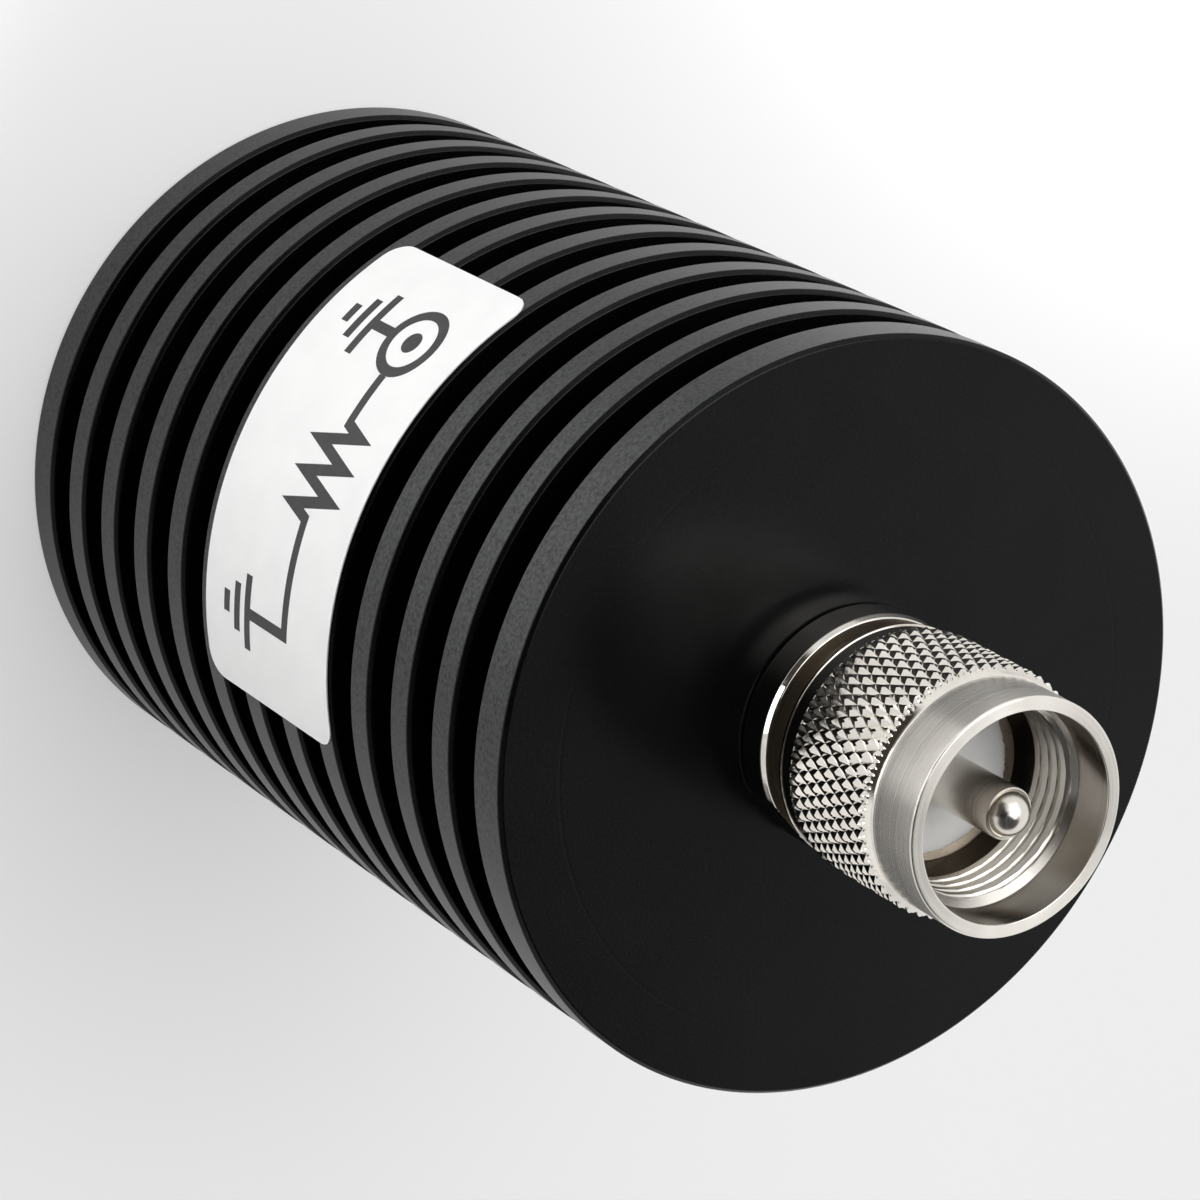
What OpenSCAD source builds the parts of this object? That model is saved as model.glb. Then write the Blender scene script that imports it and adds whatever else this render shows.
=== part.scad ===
/* [Heat sink] */
// Diameter of the end discs and fins
body_d = 60; // [46:1:90]
// Length of the finned body, from its rear face to its front face
body_len = 80.6; // [74:0.1:120]
// Thickness of the front disc
front_disc_t = 4; // [2:0.1:8]
// Thickness of the rear disc
rear_disc_t = 3.8; // [2:0.1:8]
// Number of thin fins between the end discs
fin_count = 11; // [5:1:14]
// Thickness of one fin
fin_t = 3.05; // [1:0.05:4]
// Diameter of the core at the bottom of the grooves
core_d = 34; // [26:1:42]
// Chamfer on the edges of the end discs
disc_chamfer = 0.3; // [0.1:0.1:0.9]
// Chamfer on the rims of the fins
fin_chamfer = 0.3; // [0.05:0.05:0.4]
// Metal left behind the stud hole at the rear
rear_wall_t = 6; // [3:0.5:14]

/* [Connector body] */
// Diameter of the round flange
flange_d = 18.8; // [18:0.1:26]
// Height of the flange, with its chamfer
flange_t = 3.5; // [1.5:0.1:6]
// Chamfer on the front edge of the flange
flange_chamfer = 0.9; // [0.2:0.1:1.2]
// Distance across the two wrench flats
flats_w = 18; // [16.5:0.1:26]
// Direction that the first wrench flat faces, seen from the front
flats_angle = 157.2; // [0:0.1:180]
// Diameter of the threaded spigot in the heat sink
spigot_d = 16; // [14.8:0.1:17.4]
// Length of the threaded spigot
spigot_len = 8.5; // [7.6:0.1:14]
// Chamfer on the end of the spigot
spigot_chamfer = 0.6; // [0.1:0.1:0.9]
// Diameter of the shell in the nut
shell_d = 14; // [13.8:0.1:14.3]
// Length of shell in front of the ring groove
shell_lead = 4.1; // [3.6:0.1:5]
// Depth of the ring groove in the shell
shell_groove_depth = 0.65; // [0.4:0.05:0.7]
// Bore of the air space round the pin
air_bore_d = 10.1; // [6:0.1:10.6]

/* [Coupling nut] */
// Free space between the flange and the nut
nut_gap = 1.6; // [0.6:0.1:3]
// Length of the nut
nut_len = 16.6; // [14.6:0.1:22]
// Diameter over the knurl
knurl_d = 19.6; // [19:0.1:24]
// Length of the knurl
knurl_len = 9.4; // [6:0.1:11.4]
// Diameter of the plain land behind the knurl
rear_land_d = 19; // [18:0.1:19.4]
// Length of the plain land behind the knurl
rear_land_len = 1.5; // [0.5:0.1:3]
// Length of the cone between the knurl and the collar
nose_len = 0.9; // [0.3:0.1:2]
// Diameter of the plain collar
collar_d = 18.3; // [17.6:0.1:19.2]
// Chamfer on the rims of the nut
rim_chamfer = 0.2; // [0.05:0.05:0.3]
// Thickness of the lip at the rear of the nut
lip_t = 1.5; // [0.8:0.1:2.4]
// Bore of the plain mouth
mouth_d = 16.2; // [15.6:0.1:17]
// Depth of the plain mouth
mouth_len = 3.5; // [1.5:0.1:5]
// Diameter at the crests of the internal thread
thread_minor_d = 14.9; // [14.8:0.1:15.4]
// Length of the internal thread
thread_len = 4.8; // [3:0.1:6]
// Diameter of the relief behind the thread
relief_d = 16; // [15.5:0.1:16.8]
// Length of the inner land in front of the ring
land_len = 1.2; // [0.6:0.1:2]

/* [Retaining ring] */
// Thickness of the split ring
ring_t = 1; // [0.6:0.1:1.4]
// Width of the split
ring_split = 2; // [0.5:0.1:4]
// Depth of ring that stands in the nut
ring_grip = 0.65; // [0.4:0.05:0.8]

/* [Pin and insulators] */
// Diameter of the pin
pin_d = 4; // [3.6:0.1:4.4]
// Length of the straight pin in front of the insulator
pin_len = 8.8; // [6:0.1:12]
// Chamfer at the end of the straight pin
pin_chamfer = 0.15; // [0.05:0.05:0.3]
// Diameter of the dome where it leaves the end of the pin
tip_d = 3.6; // [2:0.1:3.6]
// Height of the dome above the end of the straight pin
tip_h = 1.4; // [0.4:0.1:1.8]
// Depth of the waist that the front insulator snaps into
pin_waist_depth = 0.3; // [0.2:0.05:0.5]
// Diameter of the pin's collar in the air space
collar_pin_d = 4.4; // [4.3:0.1:5.4]
// Diameter of the rear of the pin
pin_rear_d = 3.2; // [2.6:0.1:3.6]
// Length of pin that stands out behind the spigot
pin_rear_len = 3; // [1:0.1:5]
// Bore of the socket in the rear of the pin
pin_socket_d = 2; // [1.6:0.1:2.4]
// Depth of the socket in the rear of the pin
pin_socket_len = 4; // [2.5:0.1:5]
// Diameter of the front insulator
front_insulator_d = 12.6; // [10.4:0.1:13]
// Thickness of the front insulator
front_insulator_t = 3; // [1.5:0.1:3.8]
// Diameter of the rear insulator
rear_insulator_d = 12; // [10.4:0.1:13.4]
// Thickness of the rear insulator
rear_insulator_t = 6; // [2:0.1:7]

/* [Resistor] */
// Diameter of the copper carrier
carrier_d = 14.4; // [12:0.1:16.4]
// Diameter of the stud on the carrier
stud_d = 6; // [4:0.5:10]
// Length of the stud
stud_len = 8; // [4:0.5:12]
// Carrier left in front of the substrate
carrier_lead = 1.5; // [0.5:0.1:4]
// Flat left behind the substrate
flat_lead = 3; // [1:0.1:6]
// Width of the ceramic substrate
substrate_w = 9; // [6:0.1:11]
// Length of the ceramic substrate
substrate_len = 9.5; // [7:0.1:14]
// Thickness of the ceramic substrate
substrate_t = 1; // [0.5:0.1:2]
// Width of the cover
cover_w = 7; // [4:0.1:9]
// Height of the cover
cover_h = 2; // [1:0.1:4]
// Width of the tab
tab_w = 1.4; // [0.6:0.1:1.5]
// Thickness of the tab
tab_t = 0.25; // [0.1:0.05:0.6]
// Length of tab soldered on the substrate
tab_foot_len = 2; // [1:0.1:3]
// Free length of tab between the substrate and the pin
tab_free_len = 5; // [2.5:0.1:8]
// Length of tab in the pin's socket
tab_entry_len = 2; // [0.8:0.1:2.4]

/* [Label] */
// Width of the label, measured round the fins
label_w = 40.5; // [20:0.5:80]
// Height of the label along the axis
label_h = 20.6; // [8:0.1:40]
// Height of the label's middle above the rear face
label_mid_z = 43.9; // [24:0.1:56]
// Thickness of the label
label_t = 0.12; // [0.05:0.01:0.5]
// Corner radius of the label
label_corner_r = 2; // [0.5:0.1:4]

/* [Fits] */
// Radial gap at the threads in the heat sink
thread_gap = 0.05; // [0.02:0.01:0.15]
// Radial gap at the pin, the insulators and the carrier
slip_gap = 0.03; // [0.01:0.01:0.08]
// Radial gap at the ring and the shell, where the nut runs
run_gap = 0.15; // [0.05:0.01:0.2]
// Axial gap at the ring and at the stops
end_gap = 0.1; // [0.05:0.01:0.2]
// Gap under the label for its adhesive
glue_gap = 0.02; // [0.01:0.01:0.1]

/* [Hidden] */
$fn = 96;

// Finned body: the grooves share the length that the discs and fins leave
body_r = body_d / 2;
core_r = core_d / 2;
groove_w = (body_len - front_disc_t - rear_disc_t - fin_count * fin_t) / (fin_count + 1);
fin_pitch = fin_t + groove_w;

// Heights along the axis, from the rear face to the tip of the pin
stud_hole_z = rear_wall_t;
bore_floor_z = stud_hole_z + end_gap + stud_len;
spigot_z = body_len - spigot_len;
flange_top_z = body_len + flange_t;
nut_z = flange_top_z + nut_gap;
nut_top_z = nut_z + nut_len;
ring_z = nut_z + lip_t + end_gap;
ring_top_z = ring_z + ring_t;
nut_travel = nut_gap - end_gap;
shell_top_z = ring_top_z + end_gap + shell_lead;
front_insulator_z = shell_top_z - front_insulator_t;
pin_top_z = shell_top_z + pin_len;
rear_insulator_top_z = spigot_z + rear_insulator_t;
pin_rear_z = spigot_z - pin_rear_len;
substrate_top_z = pin_rear_z - tab_free_len;
substrate_z = substrate_top_z - substrate_len;
carrier_top_z = substrate_top_z + carrier_lead;

// Radii that follow from a neighbour and a gap
shell_r = shell_d / 2;
shell_groove_r = shell_r - shell_groove_depth;
ring_inner_r = shell_groove_r + run_gap;
lip_r = shell_r + run_gap;
ring_outer_r = lip_r + ring_grip;
nut_groove_r = ring_outer_r + run_gap;
pin_r = pin_d / 2;
waist_r = pin_r - pin_waist_depth;
tip_r = (tip_d * tip_d / 4 + tip_h * tip_h) / (2 * tip_h);
carrier_r = carrier_d / 2;

// The tab lies on the axis, so the substrate and the flat lie below it
substrate_y = -tab_t / 2 - substrate_t;

// The label's outline is drawn flat, so its width and corners shrink as it curves away
label_r = body_r + glue_gap;
label_half_span = label_w / 2 / body_r * 180 / PI;
label_half_w = label_r * sin(label_half_span);
label_corner_rx = label_corner_r * cos(label_half_span);
corner_steps = 6;

// Half outline of one disc: from the core out to the chamfered rim and back
function disc_outline(z, t, chamfer) = [
    [core_r, z],
    [body_r - chamfer, z],
    [body_r, z + chamfer],
    [body_r, z + t - chamfer],
    [body_r - chamfer, z + t],
    [core_r, z + t]
];

// Half outline of the whole finned body, rear disc first
function body_outline() = concat(
    [[0, 0]],
    disc_outline(0, rear_disc_t, disc_chamfer),
    [for (k = [1 : fin_count])
        each disc_outline(rear_disc_t + k * fin_pitch - fin_t, fin_t, fin_chamfer)],
    disc_outline(body_len - front_disc_t, front_disc_t, disc_chamfer),
    [[0, body_len]]
);

// A round hole or rod on the axis, from one height to another
module round_rod(r, z0, z1) {
    translate([0, 0, z0]) cylinder(r = r, h = z1 - z0);
}

// Finned body with a stepped blind bore from the front
module heat_sink() {
    color("#1c1c1d") difference() {
        rotate_extrude() polygon(body_outline());
        round_rod(spigot_d / 2 + thread_gap, spigot_z - end_gap, body_len + 1);
        round_rod(carrier_r + slip_gap, bore_floor_z, body_len);
        round_rod(stud_d / 2 + thread_gap, stud_hole_z, body_len);
    }
}

// Half outline of the connector body without its bores
function connector_outline() = [
    [0, spigot_z],
    [spigot_d / 2 - spigot_chamfer, spigot_z],
    [spigot_d / 2, spigot_z + spigot_chamfer],
    [spigot_d / 2, body_len],
    [flange_d / 2, body_len],
    [flange_d / 2, flange_top_z - flange_chamfer],
    [flange_d / 2 - flange_chamfer, flange_top_z],
    [shell_r, flange_top_z],
    [shell_r, ring_z - nut_travel - end_gap],
    [shell_groove_r, ring_z - nut_travel - end_gap],
    [shell_groove_r, ring_top_z + end_gap],
    [shell_r, ring_top_z + end_gap],
    [shell_r, shell_top_z],
    [0, shell_top_z]
];

// Spigot, flange with two flats, and the shell with its ring groove
module connector_body() {
    color("#c9c3ba") difference() {
        intersection() {
            rotate_extrude() polygon(connector_outline());
            rotate([0, 0, flats_angle])
                translate([-flats_w / 2, -body_r, 0]) cube([flats_w, body_d, shell_top_z]);
        }
        round_rod(front_insulator_d / 2 + slip_gap, front_insulator_z, shell_top_z + 1);
        round_rod(air_bore_d / 2, rear_insulator_top_z, shell_top_z);
        round_rod(rear_insulator_d / 2 + slip_gap, spigot_z - 1, rear_insulator_top_z);
    }
}

// A disc of insulation with a hole for the pin
module insulator(d, hole_r, z0, z1) {
    color("#ececec") difference() {
        round_rod(d / 2, z0, z1);
        round_rod(hole_r + slip_gap, z0 - 1, z1 + 1);
    }
}

// Disc in the front of the shell, snapped into the waist of the pin
module front_insulator() {
    insulator(front_insulator_d, waist_r, front_insulator_z, shell_top_z);
}

// Bead in the rear of the spigot
module rear_insulator() {
    insulator(rear_insulator_d, pin_rear_d / 2, spigot_z, rear_insulator_top_z);
}

// Half outline of the pin up to its dome
function pin_outline() = [
    [0, pin_rear_z],
    [pin_rear_d / 2, pin_rear_z],
    [pin_rear_d / 2, rear_insulator_top_z],
    [collar_pin_d / 2, rear_insulator_top_z],
    [collar_pin_d / 2, front_insulator_z],
    [waist_r, front_insulator_z],
    [waist_r, shell_top_z + slip_gap],
    [pin_r, shell_top_z + slip_gap],
    [pin_r, pin_top_z - pin_chamfer],
    [pin_r - pin_chamfer, pin_top_z],
    [0, pin_top_z]
];

// Contact pin with a domed tip and a socket in its rear
module centre_pin() {
    color("#d6d2ca") difference() {
        union() {
            rotate_extrude() polygon(pin_outline());
            translate([0, 0, pin_top_z + tip_h - tip_r]) sphere(r = tip_r);
        }
        round_rod(pin_socket_d / 2, pin_rear_z - 1, pin_rear_z + pin_socket_len);
    }
}

// Split ring that runs in the shell's groove and carries the nut
module retaining_ring() {
    color("#b08d57") difference() {
        round_rod(ring_outer_r, ring_z, ring_top_z);
        round_rod(ring_inner_r, ring_z - 1, ring_top_z + 1);
        translate([0, -ring_split / 2, ring_z - 1]) cube([ring_outer_r + 1, ring_split, ring_t + 2]);
    }
}

// Half outline of the nut: the outside going up, then the bore coming down
function nut_outline() = [
    [lip_r, nut_z],
    [rear_land_d / 2 - rim_chamfer, nut_z],
    [rear_land_d / 2, nut_z + rim_chamfer],
    [rear_land_d / 2, nut_z + rear_land_len],
    [knurl_d / 2, nut_z + rear_land_len],
    [knurl_d / 2, nut_z + rear_land_len + knurl_len],
    [collar_d / 2, nut_z + rear_land_len + knurl_len + nose_len],
    [collar_d / 2, nut_top_z - rim_chamfer],
    [collar_d / 2 - rim_chamfer, nut_top_z],
    [mouth_d / 2, nut_top_z],
    [mouth_d / 2, nut_top_z - mouth_len],
    [thread_minor_d / 2, nut_top_z - mouth_len - (mouth_d - thread_minor_d) / 2],
    [thread_minor_d / 2, nut_top_z - mouth_len - thread_len],
    [relief_d / 2, nut_top_z - mouth_len - thread_len],
    [relief_d / 2, ring_top_z + end_gap + land_len],
    [lip_r, ring_top_z + end_gap + land_len],
    [lip_r, ring_top_z + end_gap],
    [nut_groove_r, ring_top_z + end_gap],
    [nut_groove_r, ring_z - end_gap],
    [lip_r, ring_z - end_gap]
];

// Coupling nut with a lip and groove for the ring, and a threaded bore
module coupling_nut() {
    color("#cbc6be") rotate_extrude() polygon(nut_outline());
}

// Copper slug with a stud, cut down to a flat where the resistor sits
module resistor_carrier() {
    color("#b87333") difference() {
        union() {
            round_rod(stud_d / 2, stud_hole_z + end_gap, carrier_top_z);
            round_rod(carrier_r, bore_floor_z, carrier_top_z);
        }
        translate([-carrier_d, substrate_y, substrate_z - flat_lead])
            cube([2 * carrier_d, carrier_d, body_len]);
    }
}

// Ceramic chip that carries the resistive film
module resistor_substrate() {
    color("#f2efe6") translate([-substrate_w / 2, substrate_y, substrate_z])
        cube([substrate_w, substrate_t, substrate_len]);
}

// Lid over the film, behind the foot of the tab
module resistor_cover() {
    color("#e9e4d8") translate([-cover_w / 2, -tab_t / 2, substrate_z])
        cube([cover_w, cover_h, substrate_len - tab_foot_len - end_gap]);
}

// Strap from the substrate into the socket of the pin
module resistor_tab() {
    color("#d9d9d9") translate([-tab_w / 2, -tab_t / 2, substrate_top_z - tab_foot_len])
        cube([tab_w, tab_t, tab_foot_len + tab_free_len + tab_entry_len]);
}

// Outline of the label as seen from straight ahead, with corners that are round on the curved sticker
function label_outline() = [
    for (quarter = [0 : 3], k = [0 : corner_steps])
        let (
            angle = 90 * (quarter + k / corner_steps),
            side = quarter == 0 || quarter == 3 ? 1 : -1,
            end = quarter < 2 ? 1 : -1
        )
        [side * (label_half_w - label_corner_rx) + label_corner_rx * cos(angle),
         end * (label_h / 2 - label_corner_r) + label_corner_r * sin(angle)]
];

// Sticker with round corners, wrapped over the fin rims
module rating_label() {
    color("#f4f4f2") translate([0, 0, label_mid_z]) intersection() {
        difference() {
            round_rod(label_r + label_t, -label_h, label_h);
            round_rod(label_r, -label_h - 1, label_h + 1);
        }
        rotate([90, 0, 0]) linear_extrude(body_d) polygon(label_outline());
    }
}

heat_sink();
connector_body();
front_insulator();
rear_insulator();
centre_pin();
retaining_ring();
coupling_nut();
resistor_carrier();
resistor_substrate();
resistor_cover();
resistor_tab();
rating_label();
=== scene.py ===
"""Looks, light and camera for a finned RF dummy load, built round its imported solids."""
import math

import bpy
import numpy as np
from mathutils import Matrix, Vector


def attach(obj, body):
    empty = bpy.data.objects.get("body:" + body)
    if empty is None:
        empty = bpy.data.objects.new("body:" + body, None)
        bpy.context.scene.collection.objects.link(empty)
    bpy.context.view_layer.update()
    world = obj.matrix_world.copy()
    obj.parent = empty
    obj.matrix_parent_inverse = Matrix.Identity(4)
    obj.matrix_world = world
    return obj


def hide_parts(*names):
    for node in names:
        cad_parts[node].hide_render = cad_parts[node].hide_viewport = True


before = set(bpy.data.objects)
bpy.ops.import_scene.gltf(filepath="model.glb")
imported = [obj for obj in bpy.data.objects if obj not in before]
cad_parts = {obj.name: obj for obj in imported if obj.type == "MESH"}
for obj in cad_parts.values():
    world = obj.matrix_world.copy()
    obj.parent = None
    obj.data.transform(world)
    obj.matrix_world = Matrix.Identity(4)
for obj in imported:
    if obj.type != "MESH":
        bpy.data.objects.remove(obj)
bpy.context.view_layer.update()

MM = 0.001

# Sizes are in millimetres, and heights are measured from the rear face, as in the solids.
# A cut is the distance from a corner at which its rounding starts.
FINE_CUT, SOFT_CUT = 0.05, 0.1

# Finned body and the steps of its blind bore
BODY_R, BODY_LEN, CORE_R = 30.0, 80.6, 17.0
REAR_DISC_T, FRONT_DISC_T = 3.8, 4.0
FIN_COUNT, FIN_T = 11, 3.05
GROOVE_W = (BODY_LEN - REAR_DISC_T - FRONT_DISC_T - FIN_COUNT * FIN_T) / (FIN_COUNT + 1)
DISC_EDGE, FIN_EDGE, GROOVE_CORNER = 0.3, 0.3, 0.3
SPIGOT_HOLE_R, SPIGOT_HOLE_Z = 8.05, 72.0
CARRIER_HOLE_R, CARRIER_HOLE_Z = 7.23, 14.1
STUD_HOLE_R, STUD_HOLE_Z = 3.05, 6.0

# Faint ring in the front face: each step has an offset in ring widths and a share of the depth
FACE_RING_R, FACE_RING_W, FACE_RING_DEPTH = 25.0, 0.15, 0.004
FACE_RING_STEPS = ((1.5, 0), (1, 0), (0.3, 1), (-0.3, 1), (-1, 0), (-1.5, 0))

# Connector body: spigot, flange with two flats, shell and bores
SPIGOT_R, SPIGOT_Z, SPIGOT_EDGE = 8.0, 72.1, 0.6
FLANGE_R, FLANGE_TOP_Z = 9.4, 83.65
FLANGE_BEVEL_R, FLANGE_BEVEL_Z = 9.15, 83.15
FLANGE_FOOT, FLANGE_FOOT_CUT = 0.25, 0.08
FLATS_HALF_W, FLATS_ANGLE, FLATS_LEAST_COS = 9.0, math.radians(157.2), 0.1
SHELL_R, SHELL_TOP_Z, SHELL_EDGE = 7.0, 92.5, 0.3
RING_GROOVE_R, RING_GROOVE_Z, RING_GROOVE_TOP_Z = 6.35, 85.7, 88.4
INSULATOR_HOLE_R, INSULATOR_Z = 6.33, 89.5
AIR_BORE_R, REAR_BEAD_R, REAR_BEAD_TOP_Z = 5.05, 6.03, 78.1

# Lip of the shell, staked unevenly over the front insulator
LIP_INNER_R, LIP_H, LIP_T = 6.05, 0.09, 0.02
LIP_UNEVEN, LIP_SEED, LIP_WAVES = 0.06, 5, 5

# How near a point has to be to the rims, the lip or the shell to take their finish; the darker nickel of the
# lip and of the shell is painted shade
RIM_MARGIN, LIP_MARGIN, SHELL_MARGIN = 0.02, 0.05, 0.01

# Outside of the coupling nut: bead, land, knurl, cone and collar
NUT_Z, NUT_TOP_Z = 85.7, 102.3
BEAD_R, BEAD_TOP_Z, BEAD_CUT, BEAD_TOP_CUT = 9.4, 85.95, 0.08, 0.09
LAND_R, LAND_TOP_Z = 9.3, 87.2
KNURL_R, KNURL_ROOT_R, KNURL_END_Z = 9.8, 9.42, 96.6
KNURL_COUNT, DIAMOND_H, DIAMOND_TOP = 58, 2.33, 0.86
KNURL_SHARP_DEG = 20
RAMP_FIRST, RAMP_LAST, RAMP_STEP, RAMP_SLOPE = 0.06, 0.4, 0.09, 1.2
KNURL_END_GAP, CONE_END_GAP, CONE_STEP, CONE_LEAD = 0.05, 0.2, 0.07, 0.37
COLLAR_R, COLLAR_Z, COLLAR_CUT = 9.15, 97.5, 0.12
RIM_EDGE = 0.2

# Bore of the coupling nut. The crest and the flank of the thread are shares of its pitch
MOUTH_R, MOUTH_Z = 8.1, 98.8
THREAD_MINOR_R, THREAD_MAJOR_R = 7.45, 7.85
THREAD_TOP_Z, THREAD_Z, THREAD_PITCH = 98.15, 94.0, 25.4 / 24
THREAD_HALF_CREST, THREAD_FLANK = 0.28, 0.18
THREAD_LEAD_IN, THREAD_ROWS = 0.62, 104
RELIEF_R, RELIEF_Z, RELIEF_STEP = 8.0, 89.6, 0.02
NUT_LIP_R = 7.15
NUT_GROOVE_R, NUT_GROOVE_Z, NUT_GROOVE_TOP_Z = 7.95, 87.2, 88.4

# Centre pin
PIN_REAR_R, PIN_REAR_Z, PIN_REAR_EDGE = 1.6, 69.1, 0.2
PIN_SOCKET_R, PIN_SOCKET_Z = 1.0, 73.1
PIN_COLLAR_R, PIN_WAIST_R = 2.2, 1.7
PIN_R, PIN_Z, PIN_TOP_Z, PIN_EDGE = 2.0, 92.53, 101.3, 0.08
DOME_R, DOME_Z, DOME_STEPS = 1.857, 100.843, 25
DOME_GROOVE_R, DOME_GROOVE_DEPTH = 1.87, 0.1

# Sticker and the ink on it
LABEL_MID_Z, LABEL_H, LABEL_W, LABEL_CORNER_R = 43.9, 20.6, 40.5, 2.0
LABEL_IN_R, LABEL_OUT_R = 30.02, 30.125
INK_DEPTH, INK_OUT_R, INK_LINE = 0.01, 30.138, 0.95
INK_IN_R = LABEL_OUT_R - INK_DEPTH

# Most values of a noise lie between these two, and blotches are this many times as large as the grain
NOISE_LOW, NOISE_HIGH = 0.3, 0.7
BLOTCH_RATIO = 12
SPECULAR_LEVEL = 0.5

# White tent, with azimuths and elevations in degrees. The edges of its doorway and ceiling are given as
# cosines to their middles
TENT_COLOUR, DOOR_COLOUR = (0.93, 0.93, 0.93), (0.05, 0.042, 0.036)
DOOR_AZIMUTH, DOOR_WIDTH, DOOR_HEIGHT = -94, (0.48, 0.68), (0.40, 0.62)
CEILING_SIDE, CEILING_EDGE, CEILING_LEVEL = (-10, 63), (0.67, 0.73), 0.06
LAMP_AIM = Vector((0, 0, 0.05))
POOL_LAMP_R = 0.02

# Camera fitted to the photograph: angles in degrees, places in metres and lens in millimetres
CAMERA_AZIMUTH, CAMERA_ELEVATION, CAMERA_ROLL = -96.80, 53.636, 119.69
CAMERA_AIM = Vector((0.942, -2.111, 48.539)) * MM
CAMERA_DISTANCE = 0.366516
CAMERA_LENS, CAMERA_SENSOR = 136.773, 36.0
CAMERA_NEAR, CAMERA_FAR = 0.01, 20.0


# Meshes


def bent(points, steps=3, guard=0.03):
    """Profile with each corner (r, z, cut) rounded off; the curve starts that far before the corner.

    A guard point on each side of the curve keeps the flats next to it flat when they are shaded smooth.
    """
    out = []
    for i, (r, z, cut) in enumerate(points):
        here = np.array((r, z))
        if not cut:
            out.append(here)
            continue
        before, after = (np.array(points[i + k][:2]) - here for k in (-1, 1))
        before, after = before / np.linalg.norm(before), after / np.linalg.norm(after)
        out.append(here + (cut + guard) * before)
        for t in np.linspace(0, 1, steps + 1):
            out.append(here + cut * ((1 - t) ** 2 * before + t * t * after))
        out.append(here + (cut + guard) * after)
    return np.array(out)


def place(name, points, faces, materials, material_index=None, sharp_deg=28):
    """New mesh object from points in millimetres, smooth except at edges sharper than sharp_deg."""
    mesh = bpy.data.meshes.new(name)
    mesh.from_pydata((np.asarray(points) * MM).tolist(), [], faces)
    for material in materials:
        mesh.materials.append(material)
    if material_index is not None:
        mesh.polygons.foreach_set("material_index", np.asarray(material_index, np.int32))
    mesh.shade_smooth()
    mesh.set_sharp_from_angle(angle=math.radians(sharp_deg))
    mesh.validate()
    piece = bpy.data.objects.new(name, mesh)
    bpy.context.scene.collection.objects.link(piece)
    return piece


def turned(name, radius, height, materials, row_material=None, loop=False, diagonal=None, sharp_deg=28):
    """Piece of revolution. radius and height hold one row per profile point and one column per segment.

    The profile runs up the outside and down the bore. With loop it closes on itself, and otherwise its
    ends lie on the axis. diagonal says which way each quad is split, for rows that hold a pattern.
    """
    rows, columns = radius.shape
    angle = np.arange(columns) * 2 * math.pi / columns
    points = np.stack((radius * np.cos(angle), radius * np.sin(angle), height), -1).reshape(-1, 3)
    index = np.arange(rows * columns).reshape(rows, columns)
    low, high = (index, np.roll(index, -1, 0)) if loop else (index[:-1], index[1:])
    faces, face_material = [], []
    for i, (a, d) in enumerate(zip(low, high)):
        b, c = np.roll(a, -1), np.roll(d, -1)
        split = None if diagonal is None else diagonal.get(i)
        if not loop and i == 0:
            new = np.stack((a[0] + 0 * a, c, d), -1).tolist()
        elif not loop and i == rows - 2:
            new = np.stack((a, b, d[0] + 0 * a), -1).tolist()
        elif split is None:
            new = np.stack((a, b, c, d), -1).tolist()
        else:
            first = np.where(split[:, None], np.stack((a, b, c), -1), np.stack((a, b, d), -1))
            second = np.where(split[:, None], np.stack((a, c, d), -1), np.stack((b, c, d), -1))
            new = first.tolist() + second.tolist()
        faces += new
        face_material += [0 if row_material is None else row_material[i]] * len(new)
    if not loop:
        points, faces = drop_unused(points, faces)
    return place(name, points, faces, materials, face_material, sharp_deg)


def drop_unused(points, faces):
    """Points and faces without the points that no face uses."""
    used = sorted({i for face in faces for i in face})
    number = {old: new for new, old in enumerate(used)}
    return points[used], [[number[i] for i in face] for face in faces]


def even(profile, columns):
    """The same radius and height in each column."""
    return (np.repeat(profile[:, :1], columns, 1), np.repeat(profile[:, 1:], columns, 1))


def grid_faces(index):
    """Quads between the points of a grid, from the grid of their numbers."""
    corners = (index[:-1, :-1], index[:-1, 1:], index[1:, 1:], index[1:, :-1])
    return np.stack(corners, -1).reshape(-1, 4).tolist()


def groove(top):
    """Floor of the groove that ends at that height, with chamfered corners."""
    low = top - GROOVE_W
    return [(CORE_R + GROOVE_CORNER, low, 0), (CORE_R, low + GROOVE_CORNER, 0),
            (CORE_R, top - GROOVE_CORNER, 0), (CORE_R + GROOVE_CORNER, top, 0)]


def bevelled(low, top, edge):
    """Rim of a disc or fin between two heights, with bevelled edges."""
    return [(BODY_R - edge, low, FINE_CUT), (BODY_R, low + edge, FINE_CUT),
            (BODY_R, top - edge, FINE_CUT), (BODY_R - edge, top, FINE_CUT)]


def heat_sink_profile():
    """Rear face, fins and front face outside, then the stepped blind bore."""
    points = [(0, 0, 0)] + bevelled(0, REAR_DISC_T, DISC_EDGE)
    for k in range(1, FIN_COUNT + 1):
        top = REAR_DISC_T + k * (FIN_T + GROOVE_W)
        points += groove(top - FIN_T)
        points += bevelled(top - FIN_T, top, FIN_EDGE)
    last = BODY_LEN - FRONT_DISC_T
    points += groove(last)
    points += bevelled(last, BODY_LEN, DISC_EDGE)
    for side, depth in FACE_RING_STEPS:
        points.append((FACE_RING_R + side * FACE_RING_W, BODY_LEN - depth * FACE_RING_DEPTH, 0))
    for r, z, next_z in ((SPIGOT_HOLE_R, BODY_LEN, SPIGOT_HOLE_Z),
                         (CARRIER_HOLE_R, SPIGOT_HOLE_Z, CARRIER_HOLE_Z),
                         (STUD_HOLE_R, CARRIER_HOLE_Z, STUD_HOLE_Z)):
        points += [(r, z, 0), (r, next_z, 0)]
    return bent(points + [(0, STUD_HOLE_Z, 0)], steps=1)


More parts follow.
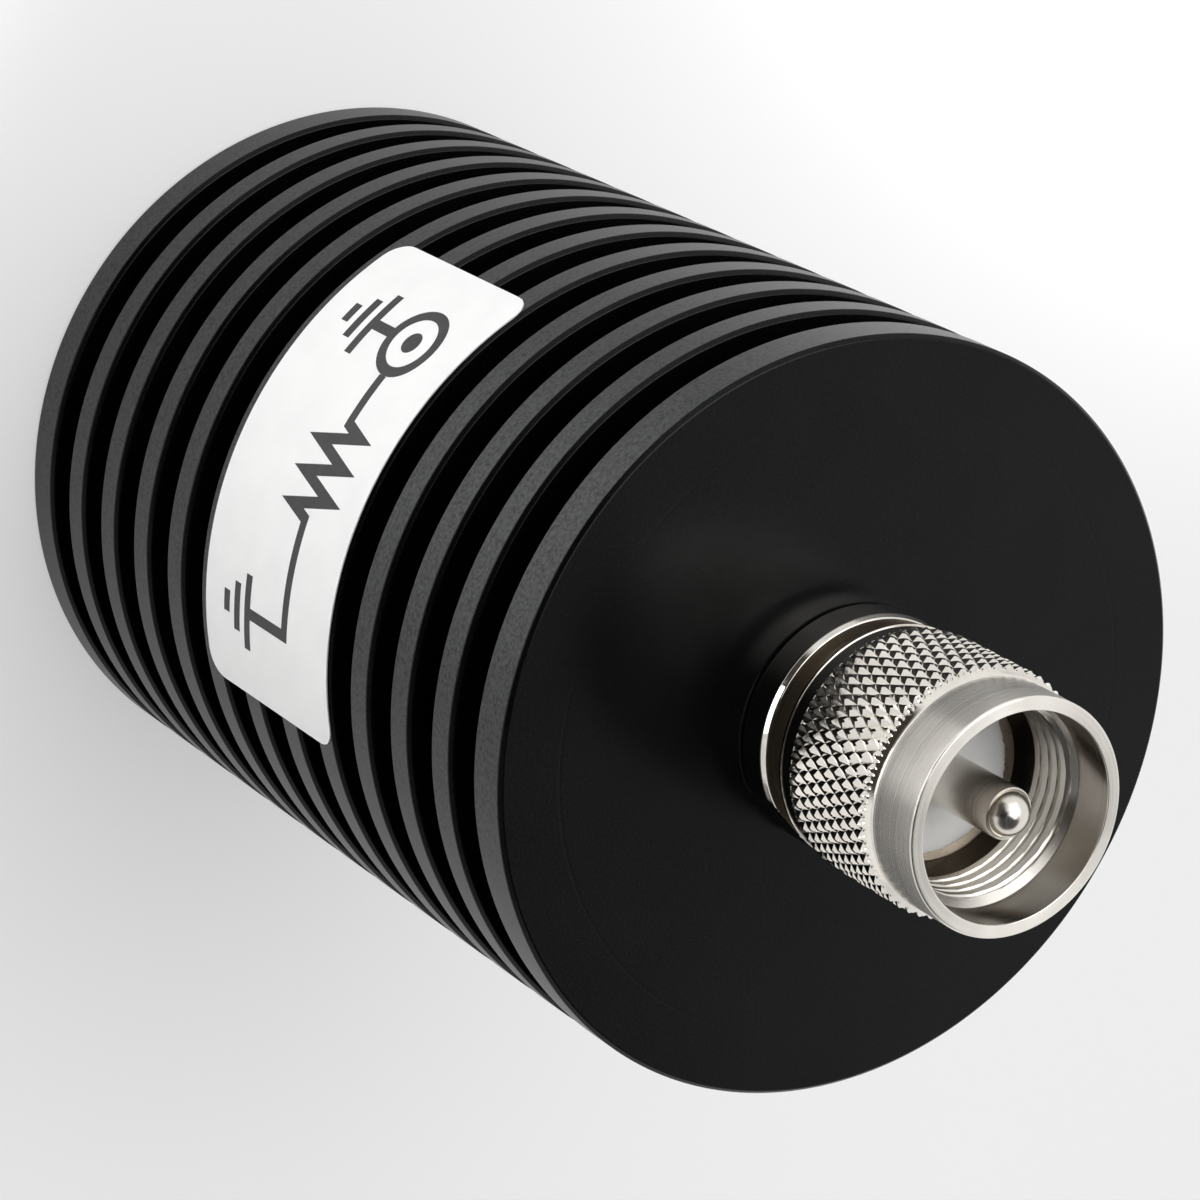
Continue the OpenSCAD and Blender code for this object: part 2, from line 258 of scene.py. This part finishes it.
def build_heat_sink(materials, columns=300):
    """Finned body: the rims take the first material, and all else the second."""
    profile = heat_sink_profile()
    finish = [int(min(a[0], b[0]) < BODY_R - RIM_MARGIN) for a, b in zip(profile, profile[1:])]
    return turned("heat_sink_turned", *even(profile, columns), materials, finish)


def build_connector(materials, columns=256):
    """Spigot, flange with two flats, and the shell with its ring groove and staked lip."""
    profile = bent([
        (REAR_BEAD_R, SPIGOT_Z, 0), (SPIGOT_R, SPIGOT_Z, SPIGOT_EDGE), (SPIGOT_R, BODY_LEN, 0),
        (FLANGE_R - FLANGE_FOOT, BODY_LEN, 0), (FLANGE_R, BODY_LEN + FLANGE_FOOT, FLANGE_FOOT_CUT),
        (FLANGE_R, FLANGE_BEVEL_Z, SOFT_CUT), (FLANGE_BEVEL_R, FLANGE_TOP_Z, SOFT_CUT),
        (SHELL_R, FLANGE_TOP_Z, SOFT_CUT), (SHELL_R, RING_GROOVE_Z, FINE_CUT),
        (RING_GROOVE_R, RING_GROOVE_Z, 0), (RING_GROOVE_R, RING_GROOVE_TOP_Z, 0),
        (SHELL_R, RING_GROOVE_TOP_Z, FINE_CUT), (SHELL_R, SHELL_TOP_Z, SHELL_EDGE),
        (LIP_INNER_R, SHELL_TOP_Z, 0), (INSULATOR_HOLE_R, SHELL_TOP_Z - LIP_T, 0),
        (INSULATOR_HOLE_R, INSULATOR_Z, 0), (AIR_BORE_R, INSULATOR_Z, 0),
        (AIR_BORE_R, REAR_BEAD_TOP_Z, 0), (REAR_BEAD_R, REAR_BEAD_TOP_Z, 0)])
    radius, height = even(profile, columns)
    angle = np.arange(columns) * 2 * math.pi / columns
    across = np.maximum(np.abs(np.cos(angle - FLATS_ANGLE)), FLATS_LEAST_COS)
    radius = np.minimum(radius, FLATS_HALF_W / across)

    lip = int(np.argmin(np.abs(profile[:, 0] - LIP_INNER_R) + np.abs(profile[:, 1] - SHELL_TOP_Z)))
    uneven = np.random.default_rng(LIP_SEED).normal(0, LIP_UNEVEN, columns)
    radius[lip] += (uneven + np.roll(uneven, 1)) / 2 + LIP_UNEVEN * np.sin(LIP_WAVES * angle)
    height[lip] += LIP_H / 2
    height[lip - 1] += LIP_H

    # Above the flange's top the nickel is darker, painted shade for the gap under the nut and the bores; the
    # staked lip is darker still, also painted shade
    cut_finish, bore_shade_finish, staked_lip_shade = 0, 1, 2
    z = profile[:, 1]
    finish = np.select([z > SHELL_TOP_Z - LIP_MARGIN, z > FLANGE_TOP_Z - SHELL_MARGIN],
                       [staked_lip_shade, bore_shade_finish], cut_finish)
    return turned("connector_body_turned", radius, height, materials, finish.tolist(), loop=True)


def knurl_depth(half_turns, half_steps):
    """0 in the grooves and 1 on the points of a diamond knurl, in units of half a diamond each way."""
    def wave(x):
        """Zigzag between 0 and 1 with one peak a unit."""
        return 1 - np.abs(2 * (x % 1) - 1)
    return np.minimum(wave((half_turns + half_steps) / 2), wave((half_turns - half_steps) / 2))


def thread_radius(angle, z):
    """Bore radius of the right-hand thread: broad flat crests, steep flanks and narrow roots."""
    phase = np.abs(((z / THREAD_PITCH - angle / (2 * math.pi)) + 0.5) % 1 - 0.5)
    flank = np.clip((phase - THREAD_HALF_CREST) / THREAD_FLANK, 0, 1)
    return THREAD_MINOR_R + (THREAD_MAJOR_R - THREAD_MINOR_R) * flank


def build_nut(materials, substeps=4):
    """Coupling nut with cut diamonds, a turned collar and the thread in its bore."""
    columns = 2 * KNURL_COUNT * substeps
    column = np.arange(columns)
    angle = column * 2 * math.pi / columns
    half_step = DIAMOND_H / 2
    row_step = half_step / substeps

    outside = bent([
        (NUT_LIP_R, NUT_Z, 0), (BEAD_R, NUT_Z, BEAD_CUT), (BEAD_R, BEAD_TOP_Z, BEAD_TOP_CUT),
        (LAND_R, BEAD_TOP_Z, 0), (LAND_R, LAND_TOP_Z, 0)])
    knurl_z = np.concatenate((
        np.arange(LAND_TOP_Z + RAMP_FIRST, LAND_TOP_Z + RAMP_LAST, RAMP_STEP),
        np.arange(LAND_TOP_Z + row_step * 2, KNURL_END_Z - KNURL_END_GAP, row_step),
        np.arange(KNURL_END_Z, COLLAR_Z - CONE_END_GAP, CONE_STEP)))
    front = bent([
        (KNURL_ROOT_R, COLLAR_Z - CONE_LEAD, 0), (COLLAR_R, COLLAR_Z, COLLAR_CUT),
        (COLLAR_R, NUT_TOP_Z, RIM_EDGE), (MOUTH_R, NUT_TOP_Z, SOFT_CUT), (MOUTH_R, MOUTH_Z, 0),
    ], steps=4)[1:]
    thread_z = np.linspace(THREAD_TOP_Z + THREAD_LEAD_IN, THREAD_Z, THREAD_ROWS)
    inside = bent([
        (RELIEF_R, THREAD_Z - RELIEF_STEP, 0), (RELIEF_R, RELIEF_Z, 0), (NUT_LIP_R, RELIEF_Z, 0),
        (NUT_LIP_R, NUT_GROOVE_TOP_Z, 0), (NUT_GROOVE_R, NUT_GROOVE_TOP_Z, 0),
        (NUT_GROOVE_R, NUT_GROOVE_Z, 0), (NUT_LIP_R, NUT_GROOVE_Z, 0)])

    cone = COLLAR_R + (COLLAR_Z - knurl_z) * (KNURL_R - COLLAR_R) / (COLLAR_Z - KNURL_END_Z)
    ramp = LAND_R + (knurl_z - LAND_TOP_Z) * RAMP_SLOPE
    steps = (knurl_z - LAND_TOP_Z) / half_step
    cut = np.minimum(knurl_depth(column[None] / substeps, steps[:, None]), DIAMOND_TOP) / DIAMOND_TOP
    knurl = KNURL_ROOT_R + (KNURL_R - KNURL_ROOT_R) * cut
    knurl = np.minimum(knurl, np.minimum(cone, ramp)[:, None])

    lead_in = THREAD_MINOR_R + np.maximum(thread_z - THREAD_TOP_Z, 0)
    thread = np.maximum(thread_radius(angle[None], thread_z[:, None]), lead_in[:, None])
    thread = np.minimum(thread, MOUTH_R)

    parts = [even(outside, columns), (knurl, np.repeat(knurl_z[:, None], columns, 1)), even(front, columns),
             (thread, np.repeat(thread_z[:, None], columns, 1)), even(inside, columns)]
    radius, height = (np.concatenate([p[k] for p in parts]) for k in (0, 1))
    knurl_start, knurl_end, thread_start, thread_end, last = np.cumsum([len(p[0]) for p in parts]).tolist()

    turned_finish, cut_finish, bore_shade_finish = 0, 1, 2
    row_material = [cut_finish] * knurl_end + [turned_finish] * (last - knurl_end)
    diagonal = {}
    for i in range(knurl_start - 1, knurl_end):
        middle = (height[i, 0] + height[i + 1, 0]) / 2
        step = math.floor((middle - LAND_TOP_Z) / half_step)
        diagonal[i] = (column // substeps + step) % 2 == 0
    # The mouth wall and the bore behind the thread take the darker nickel, painted shade inside the bore
    for i in (thread_start - 2, thread_start - 1, *range(thread_end - 1, last)):
        row_material[i] = bore_shade_finish
    return turned("coupling_nut_knurled", radius, height, materials, row_material,
                  loop=True, diagonal=diagonal, sharp_deg=KNURL_SHARP_DEG)


def build_pin(materials, columns=128):
    """Pin with its socket, waist and a domed tip behind a fine groove."""
    dome_start = math.asin((PIN_TOP_Z - DOME_GROOVE_DEPTH - DOME_Z) / DOME_R)
    dome = [(DOME_R * math.cos(a), DOME_Z + DOME_R * math.sin(a), 0)
            for a in np.linspace(dome_start, math.pi / 2, DOME_STEPS)[:-1]]
    profile = bent([
        (0, PIN_SOCKET_Z, 0), (PIN_SOCKET_R, PIN_SOCKET_Z, 0), (PIN_SOCKET_R, PIN_REAR_Z, 0),
        (PIN_REAR_R, PIN_REAR_Z, PIN_REAR_EDGE), (PIN_REAR_R, REAR_BEAD_TOP_Z, 0),
        (PIN_COLLAR_R, REAR_BEAD_TOP_Z, 0), (PIN_COLLAR_R, INSULATOR_Z, 0),
        (PIN_WAIST_R, INSULATOR_Z, 0), (PIN_WAIST_R, PIN_Z, 0), (PIN_R, PIN_Z, FINE_CUT),
        (PIN_R, PIN_TOP_Z, PIN_EDGE), (DOME_GROOVE_R, PIN_TOP_Z, 0),
        *dome, (0, DOME_Z + DOME_R, 0)])
    return turned("centre_pin_turned", *even(profile, columns), materials)


# Sticker: drawn flat in millimetres, then wrapped on the fins with its middle at -Y


def wrap(flat, r):
    """Points of the flat sticker, x to the right and y up from its middle, on a cylinder of radius r."""
    flat = np.asarray(flat, float)
    angle = -math.pi / 2 + flat[:, 0] / BODY_R
    return np.stack((r * np.cos(angle), r * np.sin(angle), LABEL_MID_Z + flat[:, 1]), -1)


def slab(flat, front_faces, rims, r_in, r_out):
    """Closed sheet between two radii: its front, its back and a wall along each rim."""
    n = len(flat)
    points = np.concatenate((wrap(flat, r_out), wrap(flat, r_in)))
    faces = [list(f) for f in front_faces] + [[i + n for i in reversed(f)] for f in front_faces]
    for rim in rims:
        faces += [[b, a, a + n, b + n] for a, b in zip(rim, rim[1:] + rim[:1])]
    return points, faces


def sticker_sheet(columns=64, rows=11, corner_steps=7):
    """Sheet of the sticker: its rows follow the round corners."""
    corner = LABEL_CORNER_R * np.sin(np.linspace(0, math.pi / 2, corner_steps))
    upper = LABEL_H / 2 - LABEL_CORNER_R + corner
    y = np.concatenate((-upper[::-1], np.linspace(-upper[0], upper[0], rows)[1:-1], upper))
    over = np.maximum(np.abs(y) - (LABEL_H / 2 - LABEL_CORNER_R), 0)
    half = LABEL_W / 2 - LABEL_CORNER_R + np.sqrt(np.maximum(LABEL_CORNER_R ** 2 - over ** 2, 0))
    x = np.linspace(-1, 1, columns + 1)[None] * half[:, None]
    flat = np.stack((x, np.repeat(y[:, None], columns + 1, 1)), -1).reshape(-1, 2)
    index = np.arange(len(flat)).reshape(len(y), columns + 1)
    rim = [*index[0, :-1], *index[:-1, -1], *index[-1, :0:-1], *index[:0:-1, 0]]
    return slab(flat, grid_faces(index), [[int(i) for i in rim]], LABEL_IN_R, LABEL_OUT_R)


def circle(centre, r, sides):
    """Points of a circle on the flat sticker."""
    return [(centre[0] + r * math.cos(a), centre[1] + r * math.sin(a))
            for a in np.arange(sides) * 2 * math.pi / sides]


def ink_line(path, closed=False, longest=0.8):
    """Printed line along a path, with mitred corners and no face longer than that many millimetres."""
    path = np.array(path, float)
    before, after = np.roll(path, 1, 0), np.roll(path, -1, 0)
    if not closed:
        before[0] = 2 * path[0] - path[1]
        after[-1] = 2 * path[-1] - path[-2]
    along_in = (path - before) / np.linalg.norm(path - before, axis=1)[:, None]
    along_out = (after - path) / np.linalg.norm(after - path, axis=1)[:, None]
    mitre = along_in + along_out
    mitre /= np.linalg.norm(mitre, axis=1)[:, None]
    reach = INK_LINE / 2 / np.sum(mitre * along_in, 1)
    side = np.stack((-mitre[:, 1], mitre[:, 0]), -1) * reach[:, None]
    corners = np.stack((path + side, path - side), 1)
    if closed:
        corners = np.concatenate((corners, corners[:1]))
    pairs = [corners[0]]
    for a, b in zip(corners, corners[1:]):
        pieces = max(1, math.ceil(np.linalg.norm(b - a, axis=1).max() / longest))
        pairs += [a + (b - a) * k / pieces for k in range(1, pieces + 1)]
    if closed:
        pairs.pop()
    n = len(pairs)
    flat = np.concatenate(([left for left, _ in pairs], [right for _, right in pairs]))
    faces = [[k, k + n, (k + 1) % n + n, (k + 1) % n] for k in range(n if closed else n - 1)]
    right_side, left_side = list(range(n, 2 * n)), list(range(n - 1, -1, -1))
    rims = [right_side, left_side] if closed else [right_side + left_side]
    return slab(flat, faces, rims, INK_IN_R, INK_OUT_R)


def ink_dot(centre, r, sides=28):
    """Printed dot."""
    rim = list(range(sides))
    return slab(circle(centre, r, sides), [rim], [rim], INK_IN_R, INK_OUT_R)


def circuit_drawing():
    """Plain circuit of a load: coaxial input, resistor and ground."""
    line_y, ground_y = 3.2, -2.6
    jack_x, jack_r, jack_sides, dot_r = -12.5, 2.9, 48, 1.0
    zig_x, zig_w, zig_h, zig_count = -4.6, 1.35, 2.5, 6
    ground_x, bar_step, bar_halves = 13.0, 1.75, (3.1, 2.0, 0.9)
    zigzag = [(zig_x, line_y)]
    for k in range(zig_count):
        zigzag.append((zig_x + zig_w * (k + 0.5), line_y + zig_h * (1 if k % 2 == 0 else -1)))
    zigzag.append((zig_x + zig_w * zig_count, line_y))
    lead = [(jack_x + jack_r + INK_LINE / 2, line_y), *zigzag, (ground_x, line_y), (ground_x, ground_y)]
    shapes = [
        ink_line(circle((jack_x, line_y), jack_r, jack_sides), closed=True),
        ink_dot((jack_x, line_y), dot_r),
        ink_line(lead),
        ink_line([(jack_x, line_y - jack_r - INK_LINE / 2), (jack_x, ground_y)]),
    ]
    for x in (jack_x, ground_x):
        for k, half in enumerate(bar_halves):
            y = ground_y - INK_LINE / 2 - bar_step * k
            shapes.append(ink_line([(x - half, y), (x + half, y)]))
    return shapes


def build_label(materials):
    """Sticker with its drawing: the paper has the first material and the ink the second."""
    points, faces = sticker_sheet()
    index = [0] * len(faces)
    for more_points, more_faces in circuit_drawing():
        faces += [[i + len(points) for i in face] for face in more_faces]
        points = np.concatenate((points, more_points))
        index += [1] * len(more_faces)
    return place("rating_label_sticker", points, faces, materials, index)


# Materials


def node(tree, kind, inputs=None, **settings):
    """New shader node. Inputs that are sockets get a link, others set the socket's value."""
    new = tree.nodes.new("ShaderNode" + kind)
    for name, value in settings.items():
        setattr(new, name, value)
    for name, value in (inputs or {}).items():
        if isinstance(value, bpy.types.NodeSocket):
            tree.links.new(value, new.inputs[name])
        else:
            new.inputs[name].default_value = value
    return new


def start_material(name, **sockets):
    """Material with a Principled shader whose constant sockets are set, and its object coordinates."""
    material = bpy.data.materials.new(name)
    material.use_nodes = True
    tree = material.node_tree
    shader = tree.nodes["Principled BSDF"]
    for socket, value in sockets.items():
        shader.inputs[socket.replace("_", " ")].default_value = value
    return material, tree, shader, node(tree, "TexCoord").outputs["Object"]


def noise(tree, vector, size_mm, detail=2.0, roughness=0.5):
    """Noise whose blotches are about that many millimetres across."""
    inputs = {"Vector": vector, "Scale": 1 / (size_mm * MM), "Detail": detail, "Roughness": roughness}
    return node(tree, "TexNoise", inputs).outputs["Fac"]


def blend_colours(tree, fac, dark, light, low=NOISE_LOW, high=NOISE_HIGH):
    """Colour that follows fac from dark to light."""
    ramp = node(tree, "ValToRGB", {"Fac": fac})
    for stop, position, colour in zip(ramp.color_ramp.elements, (low, high), (dark, light)):
        stop.position = position
        stop.color = (*colour, 1)
    return ramp.outputs["Color"]


def spread(tree, fac, low, high):
    """Number that follows fac from low to high."""
    inputs = {"Value": fac, "From Min": NOISE_LOW, "From Max": NOISE_HIGH, "To Min": low, "To Max": high}
    return node(tree, "MapRange", inputs).outputs["Result"]


def bump(tree, shader, fac, depth_mm, strength):
    """Fine relief that follows fac."""
    height = node(tree, "Bump", {"Height": fac, "Strength": strength, "Distance": depth_mm * MM})
    tree.links.new(height.outputs["Normal"], shader.inputs["Normal"])


def link(tree, shader, **sockets):
    """Feed outputs of nodes to sockets of the shader."""
    for name, output in sockets.items():
        tree.links.new(output, shader.inputs[name.replace("_", " ")])


def lathe_lines(tree, coords, size_mm):
    """Noise that runs round the axis in fine lines, as a turning tool leaves it."""
    flat = node(tree, "VectorMath", {0: coords, 1: (1, 1, 0)}, operation="MULTIPLY")
    radius = node(tree, "VectorMath", {0: flat.outputs["Vector"]}, operation="LENGTH")
    height = node(tree, "SeparateXYZ", {"Vector": coords})
    across = node(tree, "CombineXYZ", {"X": radius.outputs["Value"], "Y": height.outputs["Z"]})
    return noise(tree, across.outputs["Vector"], size_mm, detail=4.0, roughness=0.65)


def anodised_black(name, ior, rough, grain_mm, depth_mm, sparkle):
    """Dyed anodising on blasted metal: a deep black with a fine grain, whose gloss varies by sparkle."""
    material, tree, shader, coords = start_material(
        name, Metallic=0.0, IOR=ior, Specular_Tint=(0.95, 0.97, 1.0, 1.0))
    grain = noise(tree, coords, grain_mm, detail=3.0, roughness=0.6)
    patch = noise(tree, coords, size_mm=9.0)
    link(tree, shader,
         Base_Color=blend_colours(tree, patch, (0.001, 0.001, 0.0011), (0.0025, 0.0025, 0.0028)),
         Roughness=spread(tree, grain, *rough),
         Specular_IOR_Level=spread(tree, grain, SPECULAR_LEVEL - sparkle, SPECULAR_LEVEL + sparkle))
    bump(tree, shader, grain, depth_mm, strength=0.45)
    return material


def lathe_metal(name, dark, light, rough, anisotropic):
    """Plated metal with fine lines round the axis, along which it stays sharp."""
    material, tree, shader, coords = start_material(
        name, Metallic=1.0, Anisotropic=anisotropic, Anisotropic_Rotation=0.25)
    lines = lathe_lines(tree, coords, size_mm=0.12)
    patch = noise(tree, coords, size_mm=3.0)
    link(tree, shader,
         Base_Color=blend_colours(tree, patch, dark, light),
         Roughness=spread(tree, lines, *rough),
         Tangent=node(tree, "Tangent", direction_type="RADIAL", axis="Z").outputs["Tangent"])
    bump(tree, shader, lines, depth_mm=0.004, strength=0.35)
    return material


def cut_metal(name, dark, light, rough):
    """Bright plating on cut and rolled faces."""
    material, tree, shader, coords = start_material(name, Metallic=1.0)
    fine = noise(tree, coords, size_mm=0.25, detail=3.0)
    patch = noise(tree, coords, size_mm=2.0)
    link(tree, shader,
         Base_Color=blend_colours(tree, patch, dark, light), Roughness=spread(tree, fine, *rough))
    bump(tree, shader, fine, depth_mm=0.006, strength=0.3)
    return material


def speckled(name, dark, light, rough, size_mm, bump_mm, **sockets):
    """Plain material with a fine grain of that size and soft blotches."""
    material, tree, shader, coords = start_material(name, **sockets)
    fine = noise(tree, coords, size_mm, detail=3.0)
    patch = noise(tree, coords, BLOTCH_RATIO * size_mm)
    link(tree, shader,
         Base_Color=blend_colours(tree, patch, dark, light), Roughness=spread(tree, fine, *rough))
    bump(tree, shader, fine, bump_mm, strength=0.4)
    return material


def seen_directly(tree):
    """1 for the rays of the camera, of mirrors and of glass, and 0 for the light that falls on things."""
    path = node(tree, "LightPath").outputs
    seen = path["Is Camera Ray"]
    for ray in ("Is Glossy Ray", "Is Transmission Ray"):
        seen = node(tree, "Math", {0: seen, 1: path[ray]}, operation="MAXIMUM").outputs["Value"]
    return seen


def pale_floor(name, own_white):
    """Pale floor. Rays that look at it see a share of plain white, and the rest takes light and shadow."""
    material = speckled(
        name, (0.90, 0.90, 0.90), (0.92, 0.92, 0.92), rough=(0.8, 0.9), size_mm=8.0, bump_mm=0.0)
    tree = material.node_tree
    share = node(tree, "MapRange", {"Value": seen_directly(tree), "To Max": own_white}).outputs["Result"]
    white = node(tree, "Emission", {"Color": (1, 1, 1, 1), "Strength": 1.0}).outputs["Emission"]
    matt = tree.nodes["Principled BSDF"].outputs["BSDF"]
    mixed = node(tree, "MixShader", {0: share, 1: matt, 2: white}).outputs["Shader"]
    tree.links.new(mixed, tree.nodes["Material Output"].inputs["Surface"])
    return material


# Light, floor and camera


def toward(azimuth_deg, elevation_deg):
    """Unit vector from the part to that side: azimuth from +X towards +Y, elevation above the floor."""
    a, e = math.radians(azimuth_deg), math.radians(elevation_deg)
    return Vector((math.cos(e) * math.cos(a), math.cos(e) * math.sin(a), math.sin(e)))


def softbox(name, azimuth_deg, elevation_deg, distance, width, height, power):
    """Large area lamp that faces the middle of the part."""
    lamp = bpy.data.lights.new(name, "AREA")
    lamp.shape = "RECTANGLE"
    lamp.size, lamp.size_y, lamp.energy = width, height, power
    light = bpy.data.objects.new(name, lamp)
    light.location = LAMP_AIM + distance * toward(azimuth_deg, elevation_deg)
    light.rotation_euler = (light.location - LAMP_AIM).to_track_quat("Z", "Y").to_euler()
    light.visible_camera = False
    bpy.context.scene.collection.objects.link(light)


def floor_pool(name, azimuth_deg, distance, height, radius, softness, power):
    """Spot straight above the floor beside the part; it lights the floor and not the part."""
    lamp = bpy.data.lights.new(name, "SPOT")
    lamp.energy, lamp.shadow_soft_size = power, POOL_LAMP_R
    lamp.spot_size, lamp.spot_blend = 2 * math.atan(radius / height), softness
    light = bpy.data.objects.new(name, lamp)
    light.location = distance * toward(azimuth_deg, 0) + Vector((0, 0, height))
    bpy.context.scene.collection.objects.link(light)


def studio_world():
    """White tent with a dark doorway in front and a dark ceiling."""
    world = bpy.data.worlds.new("studio")
    world.use_nodes = True
    tree = world.node_tree
    direction = node(tree, "TexCoord").outputs["Generated"]

    def facing(azimuth_deg, elevation_deg=0):
        """Cosine between the direction and that side."""
        side = {0: direction, 1: toward(azimuth_deg, elevation_deg)}
        return node(tree, "VectorMath", side, operation="DOT_PRODUCT").outputs["Value"]

    def fade(value, start, end, first, last):
        """Smooth change from first to last as the value goes from start to end."""
        inputs = {"Value": value, "From Min": start, "From Max": end, "To Min": first, "To Max": last}
        return node(tree, "MapRange", inputs, interpolation_type="SMOOTHSTEP").outputs["Result"]

    aside = node(tree, "Math", {0: facing(DOOR_AZIMUTH + 90)}, operation="ABSOLUTE").outputs["Value"]
    within = {0: fade(aside, *DOOR_WIDTH, 1, 0), 1: fade(facing(DOOR_AZIMUTH), *DOOR_HEIGHT, 0, 1)}
    door = node(tree, "Math", within, operation="MULTIPLY").outputs["Value"]
    colour = blend_colours(tree, door, TENT_COLOUR, DOOR_COLOUR, 0.0, 1.0)
    ceiling = fade(facing(*CEILING_SIDE), *CEILING_EDGE, 1, CEILING_LEVEL)
    background = tree.nodes["Background"]
    tree.links.new(colour, background.inputs["Color"])
    tree.links.new(ceiling, background.inputs["Strength"])
    bpy.context.scene.world = world


def build_floor(material, half_m=3.0, cells=8):
    """Pale plane under the part."""
    side = np.linspace(-half_m, half_m, cells + 1) / MM
    x, y = np.meshgrid(side, side)
    points = np.stack((x.ravel(), y.ravel(), 0 * x.ravel()), -1)
    index = np.arange(len(points)).reshape(cells + 1, cells + 1)
    return place("floor", points, grid_faces(index), [material])


def build_camera():
    """Camera at the photograph's angle; the part stands on its end, so the camera is rolled."""
    back = toward(CAMERA_AZIMUTH, CAMERA_ELEVATION)
    level = back.to_track_quat("Z", "Y").to_matrix()
    turn = Matrix.Rotation(math.radians(CAMERA_ROLL), 3, "Z")
    data = bpy.data.cameras.new("camera")
    data.lens, data.sensor_width = CAMERA_LENS, CAMERA_SENSOR
    data.clip_start, data.clip_end = CAMERA_NEAR, CAMERA_FAR
    camera = bpy.data.objects.new("camera", data)
    camera.matrix_world = Matrix.Translation(CAMERA_AIM + CAMERA_DISTANCE * back) @ (level @ turn).to_4x4()
    bpy.context.scene.collection.objects.link(camera)
    bpy.context.scene.camera = camera


# The part: pieces that take the place of their solids, then solids that keep their shape

nickel_turned = lathe_metal(
    "nickel_turned", (0.82, 0.78, 0.72), (0.90, 0.87, 0.81), rough=(0.18, 0.28), anisotropic=0.9)
nickel_cut = cut_metal("nickel_cut", (0.79, 0.75, 0.69), (0.87, 0.83, 0.77), rough=(0.05, 0.12))
# Darker nickel for the bores and the gap under the nut: its turned lines are real, its darker tone is
# painted shade
nickel_bore_shade = lathe_metal(
    "nickel_bore_shade", (0.44, 0.40, 0.35), (0.52, 0.48, 0.43), rough=(0.16, 0.26), anisotropic=0.7)
# Still darker nickel for the staked lip deep in the bore: painted shade
nickel_staked_shade = speckled(
    "nickel_staked_shade", (0.26, 0.22, 0.18), (0.40, 0.35, 0.29), rough=(0.25, 0.45),
    size_mm=0.25, bump_mm=0.03, Metallic=1.0)
anodised = [
    anodised_black("anodised_rims", ior=1.47, rough=(0.32, 0.44), grain_mm=0.3, depth_mm=0.03, sparkle=0.3),
    anodised_black("anodised_face", ior=1.28, rough=(0.20, 0.28), grain_mm=0.2, depth_mm=0.012, sparkle=0.1),
]
pin_plating = lathe_metal(
    "pin_plating", (0.72, 0.68, 0.62), (0.82, 0.78, 0.72), rough=(0.16, 0.28), anisotropic=0.5)
sticker = [
    speckled("label_paper", (0.86, 0.86, 0.86), (0.89, 0.89, 0.885), rough=(0.42, 0.55),
             size_mm=0.3, bump_mm=0.004),
    speckled("label_ink", (0.016, 0.016, 0.017), (0.026, 0.026, 0.028), rough=(0.45, 0.6),
             size_mm=0.2, bump_mm=0.004),
]
pieces = {
    "heat_sink": (build_heat_sink(anodised), "load_body", "black_anodised"),
    "connector_body": (build_connector([nickel_cut, nickel_bore_shade, nickel_staked_shade]), "load_body", "nickel"),
    "coupling_nut": (build_nut([nickel_turned, nickel_cut, nickel_bore_shade]), "nut", "nickel"),
    "centre_pin": (build_pin([pin_plating]), "load_body", "pin_plating"),
    "rating_label": (build_label(sticker), "load_body", "label"),
}
for solid, (piece, body, slot) in pieces.items():
    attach(piece, body)
    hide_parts(solid)

kept_solids = {
    ("front_insulator", "rear_insulator"):
        speckled("ptfe", (0.90, 0.90, 0.90), (0.94, 0.94, 0.935), rough=(0.35, 0.5),
                 size_mm=0.4, bump_mm=0.01,
                 Subsurface_Weight=0.6, Subsurface_Radius=(1, 1, 1), Subsurface_Scale=2 * MM),
    ("retaining_ring",):
        speckled("bronze", (0.48, 0.34, 0.18), (0.58, 0.43, 0.25), rough=(0.25, 0.4),
                 size_mm=0.3, bump_mm=0.01, Metallic=1.0),
    ("resistor_carrier",):
        speckled("copper", (0.68, 0.38, 0.24), (0.76, 0.46, 0.31), rough=(0.25, 0.4),
                 size_mm=0.4, bump_mm=0.01, Metallic=1.0),
    ("resistor_substrate", "resistor_cover"):
        speckled("ceramic", (0.86, 0.84, 0.78), (0.91, 0.89, 0.83), rough=(0.5, 0.7),
                 size_mm=0.2, bump_mm=0.01),
    ("resistor_tab",):
        speckled("tab_plating", (0.72, 0.70, 0.66), (0.82, 0.80, 0.76), rough=(0.2, 0.35),
                 size_mm=0.3, bump_mm=0.005, Metallic=1.0),
}
for names, material in kept_solids.items():
    for name in names:
        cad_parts[name].data.materials.clear()
        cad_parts[name].data.materials.append(material)

# The studio: lamps in metres and watts

floor = build_floor(pale_floor("floor_pale", own_white=0.45))
studio_world()
softbox("key", -158, 53, distance=1.1, width=1.25, height=0.7, power=1.8)
softbox("fill", -78, 4, distance=0.9, width=0.6, height=0.16, power=1.4)
softbox("top", 170, 75, distance=1.1, width=0.8, height=0.8, power=4.4)
floor_pool("pool_front", -103, distance=0.165, height=0.8, radius=0.11, softness=0.35, power=48.0)
floor_pool("pool_side", 155, distance=0.165, height=0.8, radius=0.135, softness=0.9, power=25.0)
build_camera()
bpy.context.scene.view_settings.view_transform = "Standard"
